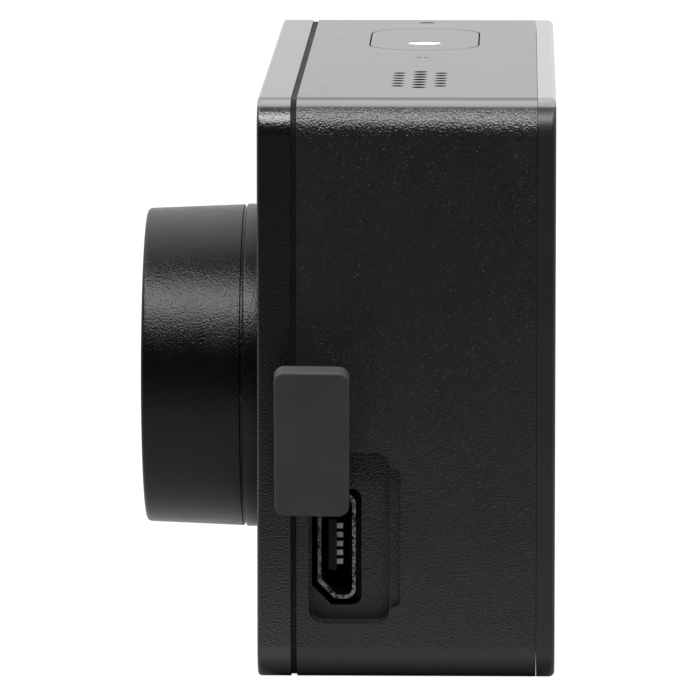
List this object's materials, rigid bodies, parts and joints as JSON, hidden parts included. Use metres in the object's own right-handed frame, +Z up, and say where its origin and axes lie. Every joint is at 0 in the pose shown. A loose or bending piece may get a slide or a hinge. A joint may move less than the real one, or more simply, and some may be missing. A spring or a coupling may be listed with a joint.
{
  "type": "action camera",
  "caption": "Compact box-shaped action camera with a protruding fixed lens, rear touch screen, top shutter button, tethered socket cover and a hinged battery door.",
  "frame": {"origin": "centre of the tripod socket's mouth on the bottom face", "axes": "+X towards the side with the USB socket, -Y to the front where the lens points, +Z up"},
  "size_m": [0.0724, 0.03, 0.042],
  "materials": {
    "body_plastic": "fine grained black",
    "cover_plastic": "satin black",
    "gasket_rubber": "matte",
    "dark_steel": "blackened",
    "screen_glass": "polished black glass",
    "black_foam": "foam",
    "display": "dark panel",
    "steel": "plain",
    "flex_circuit": "amber film",
    "lens_metal": "satin black anodised",
    "lens_glass": "coated, clear",
    "black_trim": "matte",
    "coated_glass": "coated",
    "filter_glass": "tinted",
    "silicon": "sensor surface",
    "circuit_board": "solder mask",
    "aluminium": "rolled",
    "chip": "moulded epoxy",
    "mesh_cloth": "acoustic cloth",
    "white_window": "translucent white",
    "dark_window": "smoked",
    "gold": "gold plated",
    "cover_rubber": "soft grey-black",
    "strap_rubber": "soft",
    "battery_wrap": "wrapped cell",
    "pull_tab": "thin film",
    "card_plastic": "moulded",
    "latch_plastic": "satin",
    "insert_metal": "nickelled brass"
  },
  "bodies": {
    "housing": {"antenna": "flex_circuit", "backlight_plate": "steel", "battery_contacts": "gold", "board_screws": "steel", "button_board": "circuit_board", "button_flex": "flex_circuit", "button_lamp": "white_window", "button_switch": "chip", "card_socket": "steel", "case_screws": "dark_steel", "display_flex": "flex_circuit", "door_hinge_pin": "steel", "frame_gasket": "gasket_rubber", "front_cover": "cover_plastic", "front_lens_element": "coated_glass", "glass_adhesive": "black_foam", "heat_spreader": "aluminium", "image_sensor": "silicon", "infrared_filter": "filter_glass", "inner_chassis": "black_trim", "lcd_panel": "display", "lens_barrel": "black_trim", "lens_base_ring": "lens_metal", "lens_cover_glass": "lens_glass", "lens_ring": "lens_metal", "lens_trim_ring": "black_trim", "main_board": "circuit_board", "memory_chips": "chip", "microphone": "steel", "microphone_boot": "gasket_rubber", "middle_frame": "body_plastic", "middle_lens_element": "coated_glass", "port_board": "circuit_board", "processor": "chip", "processor_shield": "steel", "rear_cover": "cover_plastic", "rear_lens_element": "coated_glass", "sensor_board": "circuit_board", "sensor_flex": "flex_circuit", "sensor_holder": "black_trim", "speaker": "black_trim", "speaker_gasket": "black_foam", "speaker_mesh": "mesh_cloth", "status_window": "dark_window", "strap_pin": "steel", "touch_glass": "screen_glass", "tripod_insert": "insert_metal", "usb_contacts": "gold", "usb_socket_shell": "steel", "usb_tongue": "chip"},
    "shutter": {"shutter_button": "body_plastic", "button_light_window": "white_window"},
    "battery_door": {"battery_door": "body_plastic", "door_seal": "gasket_rubber"},
    "door_latch": {"door_latch": "latch_plastic"},
    "battery": {"battery_pack": "battery_wrap", "battery_pull_tab": "pull_tab"},
    "memory_card": {"memory_card": "card_plastic"},
    "usb_strap": {"usb_strap": "strap_rubber"},
    "usb_cover": {"usb_cover": "cover_rubber"}
  },
  "joints": [
    {"name": "shutter_press", "type": "slide", "parent": "housing", "child": "shutter", "axis": [0, 0, -1], "range_m": [0, 0.0004], "stiffness_N_per_m": 2500},
    {"name": "battery_door_swing", "type": "hinge", "parent": "housing", "child": "battery_door", "pos_m": [-0.0076, 0, 0.00135], "axis": [0, -1, 0], "range_deg": [0, 90]},
    {"name": "battery_slide_out", "type": "slide", "parent": "housing", "child": "battery", "axis": [0, 0, -1], "range_m": [0, 0.008]},
    {"name": "door_latch_slide", "type": "slide", "parent": "battery_door", "child": "door_latch", "axis": [-1, 0, 0], "range_m": [0, 0.0012]},
    {"name": "card_push", "type": "slide", "parent": "housing", "child": "memory_card", "axis": [0, 0, -1], "range_m": [-0.0006, 0.002]},
    {"name": "usb_strap_swing", "type": "hinge", "parent": "housing", "child": "usb_strap", "pos_m": [0.03106, -0.0054, 0.01391], "axis": [0.0116, 0.955, 0.2962], "range_deg": [0, 122.56]},
    {"name": "usb_cover_turn", "type": "hinge", "parent": "usb_strap", "child": "usb_cover", "pos_m": [0.03562, -0.00595, 0.01691], "axis": [-0.0648, -0.9634, -0.2601], "range_deg": [0, 145.16]}
  ],
  "couplings": [
    {"joint": "battery_door_swing", "follows": "battery_slide_out", "rad_per_m": 196.35},
    {"joint": "usb_cover_turn", "follows": "usb_strap_swing", "ratio": 1.1844}
  ]
}
